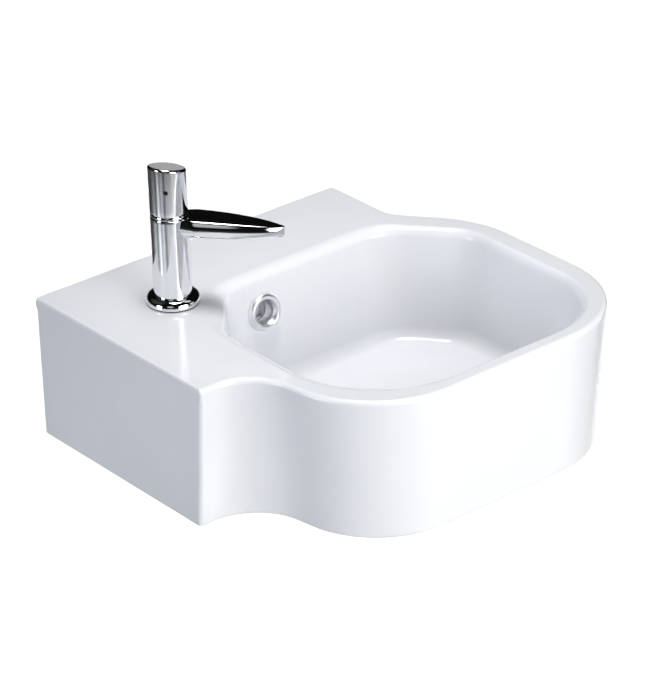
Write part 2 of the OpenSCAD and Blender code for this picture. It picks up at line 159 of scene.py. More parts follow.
def place(o):
    """From millimetres off the rear left corner of the rim to the frame's metres."""
    o.data.transform(Matrix.Diagonal((MM, MM, MM, 1)) @ Matrix.Translation((-182, 0, 60)))
    o.data.update()
    return o


def finish_piece(o, body, slot, *nodes, angle=34, weighted=True):
    smooth(o, angle, weighted)
    place(o)
    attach(o, body)
    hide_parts(*nodes)
    return o


def bezier(p0, p1, p2, p3, n, first=True):
    P = [np.asarray(p, float) for p in (p0, p1, p2, p3)]
    out = []
    for i in range(0 if first else 1, n + 1):
        t = i / n
        out.append((1 - t) ** 3 * P[0] + 3 * t * (1 - t) ** 2 * P[1] + 3 * t * t * (1 - t) * P[2] + t ** 3 * P[3])
    return out


def arc(cx, cz, r, a0, a1, n, first=True):
    """Points (r, z) of an arc, angles in degrees."""
    return [(cx + r * math.cos(math.radians(a0 + (a1 - a0) * i / n)), cz + r * math.sin(math.radians(a0 + (a1 - a0) * i / n)))
            for i in range(0 if first else 1, n + 1)]


# -------------------------------------------------------------- materials ---
class Mat:
    """A small builder for node materials."""

    def __init__(self, name):
        self.m = bpy.data.materials.new(name)
        self.m.use_nodes = True
        self.t = self.m.node_tree
        self.n = self.t.nodes
        self.b = self.n["Principled BSDF"]
        self.co = self.n.new("ShaderNodeTexCoord").outputs["Object"]

    def link(self, a, b):
        self.t.links.new(a, b)

    def mapped(self, scale):
        q = self.n.new("ShaderNodeMapping")
        q.inputs["Scale"].default_value = scale
        self.link(self.co, q.inputs["Vector"])
        return q.outputs["Vector"]

    def noise(self, scale, detail=3, rough=0.5, vec=None, distortion=0.0):
        q = self.n.new("ShaderNodeTexNoise")
        q.inputs["Scale"].default_value = scale
        q.inputs["Detail"].default_value = detail
        q.inputs["Roughness"].default_value = rough
        q.inputs["Distortion"].default_value = distortion
        self.link(vec if vec is not None else self.co, q.inputs["Vector"])
        return q.outputs["Fac"]

    def voronoi(self, scale, feature="F1", vec=None):
        q = self.n.new("ShaderNodeTexVoronoi")
        q.feature = feature
        q.inputs["Scale"].default_value = scale
        self.link(vec if vec is not None else self.co, q.inputs["Vector"])
        return q.outputs["Distance"]

    def ramp(self, fac, stops):
        q = self.n.new("ShaderNodeValToRGB")
        e = q.color_ramp.elements
        while len(e) < len(stops):
            e.new(0.5)
        for k, (p, c) in enumerate(stops):
            e[k].position = p
            e[k].color = (*c, 1) if len(c) == 3 else c
        self.link(fac, q.inputs["Fac"])
        return q.outputs["Color"]

    def span(self, fac, a, b, lo, hi):
        q = self.n.new("ShaderNodeMapRange")
        q.inputs["From Min"].default_value = a
        q.inputs["From Max"].default_value = b
        q.inputs["To Min"].default_value = lo
        q.inputs["To Max"].default_value = hi
        self.link(fac, q.inputs["Value"])
        return q.outputs["Result"]

    def math(self, op, a, b=None):
        q = self.n.new("ShaderNodeMath")
        q.operation = op
        for k, x in enumerate((a, b)):
            if x is None:
                continue
            if isinstance(x, (int, float)):
                q.inputs[k].default_value = x
            else:
                self.link(x, q.inputs[k])
        return q.outputs[0]

    def mix(self, fac, a, b):
        q = self.n.new("ShaderNodeMix")
        q.data_type = "RGBA"
        for sock, x in ((q.inputs[0], fac), (q.inputs[6], a), (q.inputs[7], b)):
            if isinstance(x, (int, float)):
                sock.default_value = x
            elif isinstance(x, tuple):
                sock.default_value = (*x, 1) if len(x) == 3 else x
            else:
                self.link(x, sock)
        return q.outputs[2]

    def bump(self, height, strength, distance, normal=None):
        q = self.n.new("ShaderNodeBump")
        q.inputs["Strength"].default_value = strength
        q.inputs["Distance"].default_value = distance
        self.link(height, q.inputs["Height"])
        if normal is not None:
            self.link(normal, q.inputs["Normal"])
        return q.outputs["Normal"]

    def set(self, **kw):
        for k, x in kw.items():
            s = self.b.inputs[k.replace("_", " ")]
            if isinstance(x, (int, float)):
                s.default_value = x
            elif isinstance(x, tuple):
                s.default_value = (*x, 1) if len(x) == 3 else x
            else:
                self.link(x, s)
        return self


def make_materials():
    M = {}
    # white glaze: a faint tone drift, orange peel, dried water film
    g = Mat("china_glaze")
    drift = g.noise(9, 4, 0.55)
    fine = g.noise(420, 2, 0.5)
    col = g.ramp(drift, [(0.30, (0.825, 0.839, 0.870)), (0.72, (0.855, 0.866, 0.892))])
    spots = g.voronoi(210)
    pin = g.span(spots, 0.0, 0.035, 0.93, 1.0)
    col = g.mix(g.math("SUBTRACT", 1.0, pin), col, (0.55, 0.53, 0.5))
    film = g.noise(26, 5, 0.62, distortion=0.6)
    wave = g.noise(17, 1, 0.4)
    nrm = g.bump(wave, 0.25, 0.0012)
    nrm = g.bump(fine, 0.12, 0.00006, nrm)
    g.set(Base_Color=col, Roughness=g.span(film, 0.35, 0.75, 0.11, 0.2), Normal=nrm)
    g.b.inputs["IOR"].default_value = 1.46
    M["glaze"] = g.m
    # bare fired body, on the foot and in the hollow below
    g = Mat("china_body")
    grain = g.noise(900, 4, 0.6)
    blot = g.noise(22, 4, 0.6)
    g.set(Base_Color=g.ramp(blot, [(0.3, (0.68, 0.66, 0.615)), (0.7, (0.76, 0.745, 0.70))]),
          Roughness=g.span(blot, 0.3, 0.7, 0.42, 0.68),
          Normal=g.bump(grain, 0.35, 0.0002))
    M["bisque"] = g.m
    # chromed brass: fine wiping marks, water spots, the odd softer patch
    g = Mat("chrome_plate")
    wipe = g.noise(34, 4, 0.6, g.mapped((1, 1, 9)))
    spot = g.voronoi(260)
    r = g.span(wipe, 0.3, 0.75, 0.035, 0.085)
    r = g.math("ADD", r, g.span(spot, 0.0, 0.12, 0.05, 0.0))
    g.set(Base_Color=g.ramp(g.noise(15, 3), [(0.3, (0.80, 0.81, 0.825)), (0.7, (0.86, 0.865, 0.875))]),
          Metallic=1.0, Roughness=r, Normal=g.bump(g.noise(60, 2), 0.05, 0.0003))
    M["chrome"] = g.m
    # satin chrome plate, on the overflow ring
    g = Mat("satin_chrome_plate")
    wipe = g.noise(60, 4, 0.6)
    g.set(Base_Color=g.ramp(g.noise(25, 3), [(0.3, (0.84, 0.85, 0.86)), (0.7, (0.90, 0.905, 0.915))]),
          Metallic=1.0, Roughness=g.span(wipe, 0.3, 0.75, 0.3, 0.38), Normal=g.bump(g.noise(300, 2), 0.04, 0.0001))
    M["satin"] = g.m
    # turned brass, a little tarnished
    g = Mat("turned_brass")
    tarn = g.noise(40, 5, 0.6)
    rings = g.noise(300, 2, 0.5, g.mapped((0.15, 0.15, 6)))
    g.set(Base_Color=g.ramp(tarn, [(0.3, (0.50, 0.36, 0.15)), (0.55, (0.72, 0.54, 0.25)), (0.8, (0.80, 0.64, 0.34))]),
          Metallic=1.0, Roughness=g.span(tarn, 0.3, 0.7, 0.42, 0.22), Normal=g.bump(rings, 0.25, 0.0001))
    M["brass"] = g.m
    # black rubber with bloom
    g = Mat("black_rubber")
    bloom = g.noise(70, 5, 0.6)
    g.set(Base_Color=g.ramp(bloom, [(0.35, (0.018, 0.018, 0.02)), (0.75, (0.055, 0.055, 0.058))]),
          Roughness=g.span(bloom, 0.3, 0.7, 0.5, 0.8), Normal=g.bump(g.noise(900, 3), 0.3, 0.00008))
    M["rubber"] = g.m
    # natural nylon
    g = Mat("nylon_moulding")
    cloud = g.noise(60, 4, 0.55)
    g.set(Base_Color=g.ramp(cloud, [(0.3, (0.70, 0.69, 0.64)), (0.7, (0.80, 0.79, 0.75))]),
          Roughness=g.span(cloud, 0.3, 0.7, 0.38, 0.55), Normal=g.bump(g.noise(700, 2), 0.2, 0.00006))
    M["nylon"] = g.m
    # stainless steel, drawn along
    g = Mat("drawn_stainless")
    draw = g.noise(220, 4, 0.6, g.mapped((1, 1, 0.06)))
    g.set(Base_Color=g.ramp(draw, [(0.3, (0.46, 0.465, 0.47)), (0.7, (0.62, 0.625, 0.63))]),
          Metallic=1.0, Roughness=g.span(draw, 0.3, 0.7, 0.2, 0.36), Normal=g.bump(draw, 0.15, 0.00005))
    M["stainless"] = g.m
    # lapped alumina
    g = Mat("lapped_alumina")
    sp = g.noise(160, 5, 0.6)
    g.set(Base_Color=g.ramp(sp, [(0.3, (0.80, 0.78, 0.72)), (0.7, (0.88, 0.865, 0.81))]),
          Roughness=g.span(sp, 0.3, 0.7, 0.16, 0.3), Normal=g.bump(g.noise(1200, 2), 0.1, 0.00004))
    M["disc_ceramic"] = g.m
    # blackened socket screw
    g = Mat("dark_screw")
    sp = g.noise(500, 3, 0.6)
    g.set(Base_Color=g.ramp(sp, [(0.3, (0.05, 0.05, 0.055)), (0.7, (0.12, 0.12, 0.125))]),
          Metallic=0.8, Roughness=g.span(sp, 0.3, 0.7, 0.3, 0.5), Normal=g.bump(sp, 0.1, 0.00005))
    M["screw"] = g.m
    # the floor below
    g = Mat("pale_floor")
    sp = g.noise(2.5, 3, 0.5)
    g.set(Base_Color=g.ramp(sp, [(0.3, (0.86, 0.86, 0.86)), (0.7, (0.88, 0.88, 0.88))]), Roughness=0.9)
    M["floor"] = g.m
    return M


MATS = make_materials()
SLOT = {r["node"]: r["material_slot"] for r in frame["record"]["subparts"]}
for name, o in NODES.items():
    o.data.materials.clear()
    o.data.materials.append(MATS["glaze" if SLOT[name] == "china" else SLOT[name]])
NODES["handle_grub_screw"].data.materials[0] = MATS["screw"]

# --------------------------------------------------------------- outlines ---
BASIN_H, DRAFT, CHINA = 144.4, 10.4, 12.0
OUT = np.array([[0, 0], [0, -252.9], [55.5, -252.9], [80.6, -398.4], [420, -398.4], [420, -156.2], [363.7, -86.6], [363.7, 0]], float)
OUT_K = [8, 8, 22, 26, 30, 26, 16, 8]
OUT_M = [12, 3, 4, 10, 8, 4, 7, 16]
BOWL = np.array([[90.1, -172.2], [90.1, -378], [392.7, -378], [392.7, -172.2], [336, -105], [144.9, -105]], float)
BOWL_R = [42, 105, 84, 45, 38, 42]
BOWL_LOW = [75, 105, 84, 62, 66, 42]
DEPTH, FLOOR_RAD = 112.0, 14.0
SINK = 99 - DEPTH
BOWL_K = [16, 22, 24, 16, 14, 16]
BOWL_M = [7, 10, 7, 4, 12, 4]


def unit(v):
    return v / np.linalg.norm(v)


def push(P, D):
    n, out = len(P), []
    for i in range(n):
        h, j = (i - 1) % n, (i + 1) % n
        d0, d1 = unit(P[i] - P[h]), unit(P[j] - P[i])
        q0 = P[i] + np.array([-d0[1], d0[0]]) * D[h]
        q1 = P[i] + np.array([-d1[1], d1[0]]) * D[i]
        w = q1 - q0
        out.append(q0 + d0 * ((w[0] * d1[1] - w[1] * d1[0]) / (d0[0] * d1[1] - d0[1] * d1[0])))
    return np.array(out)


def rounded(P, R, K, M):
    n, starts, ends, arcs = len(P), [], [], []
    for i in range(n):
        a, b = unit(P[i - 1] - P[i]), unit(P[(i + 1) % n] - P[i])
        phi = math.acos(float(a @ b))
        c = P[i] + unit(a + b) * R[i] / math.sin(phi / 2)
        s, e = P[i] + a * R[i] / math.tan(phi / 2), P[i] + b * R[i] / math.tan(phi / 2)
        t0, t1 = math.atan2(*(s - c)[::-1]), math.atan2(*(e - c)[::-1])
        dt = (t1 - t0 + math.pi) % (2 * math.pi) - math.pi
        arcs.append([c + R[i] * np.array([math.cos(t0 + dt * m / K[i]), math.sin(t0 + dt * m / K[i])]) for m in range(K[i] + 1)])
    pts = []
    for i in range(n):
        pts += arcs[i]
        a, b = arcs[i][-1], arcs[(i + 1) % n][0]
        pts += [a + (b - a) * m / M[i] for m in range(1, M[i])]
    return np.array(pts)


def lift(P, z):
    return np.column_stack([P, np.full(len(P), float(z))])


def basin_ring(z, f, w, c):
    """f pushes the free faces in, w the two wall faces; c rounds the wall corner."""
    R = [c, max(2.5, c), min(47.2 + f, 62.0), 102.4 - f, 107.2 - f, 117.7 - f, 31.6 + f, max(2.5, c)]
    return lift(rounded(push(OUT, [w, f, f, f, f, f, f, w]), R, OUT_K, OUT_M), z)


def lean(z):
    return -z * DRAFT / BASIN_H


def bowl_ring(z, d, b=0.0, q=0.0):
    """d pushes every wall in, b more at the back; q from rim to floor leans the left and back walls further."""
    s = max(0.0, min(1.0, (d + 6.5) / 14.5))
    R = [max(6.0, r + (w - r) * s - d * 0.6) for r, w in zip(BOWL_R, BOWL_LOW)]
    return lift(rounded(push(BOWL, [d + b * 0.8 + 10 * q, d, d, d + b * 0.4 + 3 * q, d + b + 6 * q, d + b * 1.4]), R, BOWL_K, BOWL_M), z)


def down(z):
    """0 at the bottom of the rim's roll, 1 where the wall meets the floor's soft corner."""
    return max(0.0, min(1.0, (-9 - z) / (DEPTH - FLOOR_RAD - 9)))


# the tap's axis; its head is drawn on a column 92.6 high and then lowered
TAP = (90.9, -94.8)
HEAD = -3.1


# ------------------------------------------------------------------ china ---
def make_china():
    mats = [MATS["glaze"], MATS["bisque"]]
    rings, band = [], []

    def add(ring, mat=0):
        rings.append(ring)
        band.append(mat)

    # the hollow's ceiling, down inside the apron with a soft corner above
    ceiling = -CHINA
    for a in (90, 72, 54, 36, 18):
        s, c = math.sin(math.radians(a)), math.cos(math.radians(a))
        z = ceiling - 9 * (1 - s)
        add(basin_ring(z, lean(z) + CHINA + 9 * (1 - c), CHINA + 4.5 * (1 - c), 8), 1)
    for z in np.linspace(ceiling - 9, -BASIN_H + 1.6, 11):
        add(basin_ring(z, lean(z) + CHINA, CHINA, 6), 1)
    # the foot, ground flat, its edges eased
    zf = -BASIN_H
    add(basin_ring(zf + 0.4, lean(zf) + CHINA - 0.5, CHINA - 0.5, 5.8), 1)
    add(basin_ring(zf, lean(zf) + CHINA - 1.6, CHINA - 1.6, 5.6), 1)
    add(basin_ring(zf, lean(zf) + CHINA - 2.4, CHINA - 2.4, 5.6), 1)
    add(basin_ring(zf, lean(zf) + 2.4, 2.0, 4), 1)
    add(basin_ring(zf, lean(zf) + 1.6, 1.2, 4), 1)
    for a in (30, 60):
        s, c = math.sin(math.radians(a)), math.cos(math.radians(a))
        add(basin_ring(zf + 1.6 * (1 - c), lean(zf) + 1.6 * (1 - s), 1.2 * (1 - s), 4), 1)
    add(basin_ring(zf + 1.6, lean(zf + 1.6), 0, 4), 1)
    add(basin_ring(zf + 3.0, lean(zf + 3.0), 0, 4), 0)
    # the outer wall
    for z in np.linspace(zf + 6, -15, 13):
        add(basin_ring(z, lean(z), 0, 4))
    for z in (-13.2, -12.0, -10.8, -9.5, -7.5):
        k = min(1.0, max(0.0, (-z - 9.5) / 3.7))
        add(basin_ring(z, lean(z), 0, 1.2 + 2.8 * k * k * (3 - 2 * k)))
    # over the rim on to the deck
    for i in range(13):
        t = math.radians(90 * i / 12)
        add(basin_ring(-5 + 5 * math.sin(t), 0.36 + 4.64 * (1 - math.cos(t)), 2.2 * (1 - math.cos(t)), 1.2 + 1.3 * (1 - math.cos(t))))
    add(basin_ring(0, 5.9, 3.0, 2.6))
    v, f, m = skin(rings, band[1:], (1, 0))
    body = new_object("china", v, f, mats, m)

    # outside of the bowl in the hollow, flaring into the ceiling
    st = []
    zk = FLOOR_RAD - DEPTH
    k = 8 / (DEPTH - FLOOR_RAD - 9)
    zb = -DEPTH - CHINA
    for d, z in bezier((22, zb), (7, zb), (-4 + 14 * k, zk - 14), (-4, zk), 10):
        st.append(bowl_ring(z, d, 0, 1))
    for z in np.linspace(zk + 10, -27, 6):
        st.append(bowl_ring(z, -4 - (z - zk) * k, 0, down(z)))
    d0 = -4 - (-24 - zk) * k
    for d, z in bezier((d0, -24), (d0 - 0.8, -17.4), (-16.5, -11.4), (-22, -11.2), 6):
        st.append(bowl_ring(z, d, 0, down(z)))
    st.append(bowl_ring(-6, -22))
    v, f, m = skin(st)
    shell = new_object("shell", v, f, [mats[1]])
    # boss round the waste hole
    prof = [(0, -123), (41.5, -123)] + arc(41.5, -120.5, 2.5, -90, 0, 5, False) + [(44, -117.5)] + \
        arc(50.5, -117.5, 6.5, 180, 90, 6, False) + [(50.5, -103), (0, -103)]
    prof = [(r, z + SINK) for r, z in prof]
    boss = lathe_solid("boss", prof, [mats[1]], 96, (215, -270))
    boolean(shell, "UNION", boss)
    # the overflow channel, down behind the bowl and forward to the waste
    ox, wx, wy = 184.5, 215.0, 270.0
    v, f, m = skin(rbox(ox - 17, ox + 17, -118, -84, SINK - 123, -14, 7, 4))
    boolean(shell, "UNION", new_object("ch1", v, f, [mats[1]]))
    reach = math.hypot(wx - ox, wy - 104)
    ang = -math.atan2(wy - 104, wx - ox)
    rings2 = rbox(-14, reach, -17, 17, SINK - 123, SINK - 107, 7, 4)
    for r in rings2:
        x, y = r[:, 0].copy(), r[:, 1].copy()
        r[:, 0] = ox + x * math.cos(ang) - y * math.sin(ang)
        r[:, 1] = -104 + x * math.sin(ang) + y * math.cos(ang)
    v, f, m = skin(rings2)
    boolean(shell, "UNION", new_object("ch2", v, f, [mats[1]]))
    v, f, m = skin([basin_ring(-BASIN_H, lean(-BASIN_H) + 3, 3, 4), basin_ring(-3, 3, 3, 4)])
    boolean(shell, "INTERSECT", new_object("limit", v, f, [mats[1]]))
    boolean(body, "UNION", shell)

    # the bowl: floor, soft corner, wall, and the roll over its edge
    st = [bowl_ring(-DEPTH, 50, 0, 1), bowl_ring(-DEPTH, 30, 0, 1)]
    s, c = math.sin(math.atan(k)), math.cos(math.atan(k))
    g = FLOOR_RAD * 0.56
    for d, z in bezier((8 + FLOOR_RAD, -DEPTH), (8 + FLOOR_RAD - g, -DEPTH), (8 + g * s, zk - g * c), (8, zk), 14):
        st.append(bowl_ring(z, d, 0, 1))
    for z in np.linspace(zk + 8, -17, 8):
        st.append(bowl_ring(z, (-9 - z) * k, 0, down(z)))
    for d, b, z in bezier((0, 0, -9), (-5 * s, 0, -9 + 5 * c), (-2.9, -3.4, 0), (-6.5, -8, 0), 16):
        st.append(bowl_ring(z, d, b))
    st.append(bowl_ring(6, -6.5, -8))
    v, f, m = skin(st)
    cuts = [new_object("bowl", v, f, [mats[0]])]
    # inside of the overflow channel
    v, f, m = skin(rbox(ox - 10, ox + 10, -99, -91, SINK - 117, -22, 1.5, 1))
    cuts.append(new_object("ci1", v, f, [mats[0]]))
    rings2 = rbox(-4, reach, -10, 10, SINK - 117, SINK - 111, 1.5, 1)
    for r in rings2:
        x, y = r[:, 0].copy(), r[:, 1].copy()
        r[:, 0] = ox + x * math.cos(ang) - y * math.sin(ang)
        r[:, 1] = -104 + x * math.sin(ang) + y * math.cos(ang)
    v, f, m = skin(rings2)
    cuts.append(new_object("ci2", v, f, [mats[1]]))
    # overflow hole, square to the leaning wall
    hole = lathe_solid("oh", [(0, -12), (12.2, -12), (12.2, 18), (0, 18)], [mats[0]], 64)
    hole.data.transform(overflow_matrix())
    cuts.append(hole)
    cuts.append(lathe_solid("th", [(0, -20), (17.5, -20), (17.5, 20), (0, 20)], [mats[1]], 96, TAP))
    seat = [(0, -130), (22.5, -130), (22.5, -103), (33.5, -103)] + \
        [(35.1 - 1.6 * math.cos(math.radians(a)), -100.6 + 1.6 * math.sin(math.radians(a))) for a in (0, 22, 45, 68, 90)] + \
        [(35.1, -90), (0, -90)]
    seat = [(r, z + SINK) for r, z in seat]
    cuts.append(lathe_solid("wh", seat, [mats[0]], 96, (215, -270)))
    for s_ in (-1, 1):
        h = lathe_solid("bh", [(0, -1), (9.2, -1), (7.3, 0.9), (7, 2), (7, 19), (0, 19)], [mats[1]], 48)
        h.data.transform(Matrix.Translation((182 + s_ * 90, 0, -60)) @ Matrix.Rotation(math.radians(90), 4, "X"))
        cuts.append(h)
    boolean(body, "DIFFERENCE", *cuts)
    return finish_piece(body, "basin", "china", "basin_body", angle=40)


def rbox(x0, x1, y0, y1, z0, z1, r, e):
    """Rings of an upright box with its corners rounded by r and its ends eased by e."""
    out = []
    P = np.array([[x0, y1], [x0, y0], [x1, y0], [x1, y1]], float)
    for z, d in [(z0 + e * (1 - math.cos(math.radians(a))), e * (1 - math.sin(math.radians(a)))) for a in (0, 22, 45, 68, 90)] + \
            [(z1 - e * (1 - math.cos(math.radians(a))), e * (1 - math.sin(math.radians(a)))) for a in (90, 68, 45, 22, 0)]:
        out.append(lift(rounded(push(P, [d] * 4), [max(0.4, r - d)] * 4, [6] * 4, [2] * 4), z))
    return out


def overflow_matrix():
    """Along +Z one leaves the bowl's back wall square to it."""
    oz = -37.7
    lean_back = 14 / (DEPTH - FLOOR_RAD - 9)
    return Matrix.Translation((184.5, -105 - lean_back * (-oz - 9), oz)) @ Matrix.Rotation(math.radians(90) - math.atan(lean_back), 4, "X")


make_china()

# ------------------------------------------------------------------ chrome ---
CHROME = [MATS["chrome"]]


def make_overflow_ring():
    p = [(10.2, -9), (10.9, -9), (11.4, -8.6), (11.5, -0.4), (11.6, 0.1), (17.7, 0.1), (18.05, 0.2), (18.2, 0.5), (18.2, 2.4)]
    p += [(15.4 + 2.8 * math.cos(math.radians(t)), 2.4 + 4 * math.sin(math.radians(t))) for t in range(9, 90, 9)]
    p += [(15.4, 6.4), (14.8, 6.4), (14.1, 6.3), (13.5, 6.0), (13.0, 5.5), (12.4, 4.6), (11.6, 3.3), (10.9, 1.9), (10.4, 0.6), (10.2, -1.0)]
    o = lathe_solid("overflow_ring_polished", p, [MATS["satin"]], 96)
    o.data.transform(overflow_matrix())
    return finish_piece(o, "basin", "chrome", "overflow_ring")


make_overflow_ring()


def make_base_ring():
    p = [(18.06, 1.2), (24.9, 1.2), (25.35, 1.35), (25.6, 1.8), (25.6, 2.6)]
    p += [(18.9 + 6.7 * math.cos(math.radians(t)), 2.8 + 6.9 * math.sin(math.radians(t))) for t in range(6, 90, 6)]
    p += [(18.5, 9.68), (18.25, 9.6), (18.06, 9.3)]
    return finish_piece(lathe_solid("tap_base_ring_polished", p, CHROME, 128, TAP), "basin", "chrome", "tap_base_ring")


def make_column():
    t = 92.6 + HEAD
    p = [(10.55, 1.2), (17.5, 1.2), (17.85, 1.35), (18, 1.7)] + [(18, z) for z in np.linspace(10, t - 3, 9)] + \
        [(18, t - 1.1), (17.9, t - 0.7), (17.6, t - 0.4), (17.2, t - 0.2), (16.8, t), (12, t), (12, 58 + HEAD), (7, 58 + HEAD), (7, 16), (10.55, 16)]
    o = lathe_solid("tap_column", p, CHROME, 128, TAP)
    b = lathe_solid("bore", [(0, 5), (6.05, 5), (6.05, 30), (0, 30)], CHROME, 32)
    b.data.transform(Matrix.Translation((*TAP, 83.4 + HEAD)) @ Matrix.Rotation(math.radians(-46), 4, "Z") @ Matrix.Rotation(math.radians(90), 4, "Y"))
    boolean(o, "DIFFERENCE", b)
    return finish_piece(o, "basin", "chrome", "tap_body")


REACH = 107.0


def step(t):
    t = max(0.0, min(1.0, t))
    return t * t * (3 - 2 * t)


def spout_half(d):
    t = max(0.0, min(1.0, d / REACH))
    return 17 * (1 - t ** 2.6) ** 0.62 * (0.8 + 0.2 * step((d - 10) / 16))


def spout_top(d):
    return 92.5 - 9.6 * (max(0.0, d - 12) / (REACH - 12)) ** 1.55


def spout_low(d):
    return 71.2 + 0.6 * d / REACH + 2 * max(0.0, (d - 97) / 10) ** 2.5


def spout_ring(d):
    """A flat top with eased edges, sides that bulge below it, and a rounded underside."""
    W, a, b = max(0.35, spout_half(d)), spout_top(d), spout_low(d)
    w = W * 0.88
    e = min(1.6, w * 0.4)
    c = a - 0.42 * (a - b)
    p = 0.9 - 0.35 * step((d - 18) / 46)
    side = []
    for i in range(7):
        t = math.radians(90 * i / 6)
        side.append((w - e + e * math.sin(t), a - e + e * math.cos(t)))
    for i in range(5, 0, -1):
        t = math.radians(28 * i / 6)
        side.append((W * math.cos(t), c + (a - e - c) * math.sin(t) / 0.475))
    for i in range(18):
        t = math.radians(90 * i / 18)
        side.append((W * math.cos(t) ** p, c - (c - b) * math.sin(t) ** 0.9))
    pts = [(-y, z) for y, z in side] + [(0, b)] + side[::-1]
    for i in range(1, 8):
        pts.append((w - e - 2 * (w - e) * i / 8, a))
    return np.array([(d, y, z) for y, z in pts])


def along_spout():
    return Matrix.Translation((*TAP, HEAD)) @ Matrix.Rotation(math.radians(-46), 4, "Z")


def make_spout():
    ds = list(np.linspace(8, 84, 26)) + [86.5, 89, 91.3, 93.5, 95.5, 97.3, 99, 100.5, 101.8, 103, 104, 104.8, 105.5, 106, 106.4, 106.7, 106.9]
    rings = [spout_ring(d) for d in ds]
    v, f, m = skin(rings)
    o = new_object("tap_spout_polished", v, f, CHROME)
    fix_normals(o)
    boolean(o, "DIFFERENCE", lathe_solid("col", [(0, 40), (18.02, 40), (18.02, 130), (0, 130)], CHROME, 128))
    spig = lathe_solid("spigot", [(0, 12.2), (5.6, 12.2), (6, 12.6), (6, 30), (0, 30)], CHROME, 32)
    spig.data.transform(Matrix.Translation((0, 0, 83.4)) @ Matrix.Rotation(math.radians(90), 4, "Y"))
    boolean(o, "UNION", spig)
    way = lathe_solid("way", [(0, 10), (3, 10), (3, 87), (0, 87)], CHROME, 24)
    way.data.transform(Matrix.Translation((0, 0, 83.4)) @ Matrix.Rotation(math.radians(92.2), 4, "Y"))
    boolean(o, "DIFFERENCE", way)
    well = [(0, 60), (7.0, 60), (7.0, 71.8), (6.8, 72.1), (6.55, 72.4), (6.55, 82.6), (0, 82.6)]
    boolean(o, "DIFFERENCE", lathe_solid("well", well, CHROME, 48, (84, 0)))
    o.data.transform(along_spout())
    return finish_piece(o, "basin", "chrome", "tap_spout")


def make_collar():
    z = 92.6 + HEAD
    p = [(13.2, z + 0.05), (16.6, z + 0.05), (17.1, z + 0.2), (17.45, z + 0.6), (17.65, z + 1.1), (17.7, z + 1.6), (17.6, z + 2.3),
         (17.4, z + 2.9), (17.0, z + 3.5), (16.6, z + 3.85), (16.2, z + 4), (13.2, z + 4)]
    return finish_piece(lathe_solid("handle_collar_polished", p, CHROME, 128, TAP), "basin", "chrome", "handle_collar")


HB, HTOP, SLOPE, FALL = 96.9 + HEAD, 138.2, 13.5, 22.0


def make_handle():
    n = 128
    tan = math.tan(math.radians(SLOPE))
    phi = np.arange(n) * 2 * math.pi / n
    across = np.cos(phi - math.radians(FALL))
    rings = []

    def flat(r, z):
        rings.append(np.column_stack([TAP[0] + r * np.cos(phi), TAP[1] + r * np.sin(phi), np.full(n, float(z))]))

    def slanted(r, drop):
        rings.append(np.column_stack([TAP[0] + r * np.cos(phi), TAP[1] + r * np.sin(phi), HTOP - r * tan * across - drop]))

    # socket for the spindle, up inside and down to the rim of the recess
    flat(4.2, 129.3 + HEAD)
    flat(4.2, HB + 6.1)
    flat(13.6, HB + 6)
    flat(14, HB + 5.6)
    flat(14, HB + 0.3)
    flat(14.3, HB)
    flat(17.2, HB)
    flat(17.7, HB + 0.15)
    flat(17.92, HB + 0.4)
    flat(18, HB + 0.8)
    for z in np.linspace(HB + 5, 126, 8):
        flat(18, z)
    # the eased edge of the slanted top, then the top itself
    for a in range(0, 91, 10):
        slanted(18 - 2.6 * (1 - math.cos(math.radians(a))), 2.6 * (1 - math.sin(math.radians(a))) + 0.35)
    for r in (14, 12, 9, 6, 3.2, 1.2):
        slanted(r, 0.1 + 0.25 * (r - 1.2) / 14.2)
    v, f, m = skin(rings)
    o = new_object("tap_handle_polished", v, f, CHROME)
    fix_normals(o)
    h = lathe_solid("grub", [(0, 5), (2.05, 5), (2.05, 17.3), (2.2, 17.75), (2.6, 18.1), (2.6, 22), (0, 22)], [MATS["chrome"]], 32)
    h.data.transform(Matrix.Translation((*TAP, 121.8 + HEAD)) @ Matrix.Rotation(math.radians(-134), 4, "Z") @ Matrix.Rotation(math.radians(90), 4, "Y"))
    boolean(o, "DIFFERENCE", h)
    return finish_piece(o, "handle", "chrome", "tap_handle")


make_base_ring()
make_column()
make_spout()
make_collar()
make_handle()


# ----------------------------------------------- threads, nuts and the waste ---
def threaded(r, depth, z0, z1, pitch, n=72, per=6):
    """Rings (r by angle, z) of an outside thread of full radius r, run out at both ends."""
    t = np.arange(n) / n
    out = []
    steps = int(round((z1 - z0) / pitch * per))
    for i in range(steps + 1):
        z = z0 + (z1 - z0) * i / steps
        ph = (z / pitch - t) % 1.0
        tri = 1 - np.abs(2 * ph - 1)
        cut = depth * np.clip(tri * 1.35 - 0.175, 0, 1)
        fade = min(1.0, (z - z0) / (0.8 * pitch), (z1 - z) / (0.8 * pitch))
        out.append((r - cut * max(0.0, fade), z))
    return out


def turned(name, rows, mats, n=72, centre=(0, 0)):
    """rows of (radius or radii, z) turned about an upright axis into a closed ring."""
    t = np.arange(n) * 2 * math.pi / n
    rings = []
    for r, z in rows:
        rr = np.broadcast_to(np.asarray(r, float), (n,))
        zz = np.broadcast_to(np.asarray(z, float), (n,))
        rings.append(np.column_stack([centre[0] + rr * np.cos(t), centre[1] + rr * np.sin(t), zz]))
    v, f, m = skin(rings, loop=True)
    o = new_object(name, v, f, mats)
    fix_normals(o)
    return o


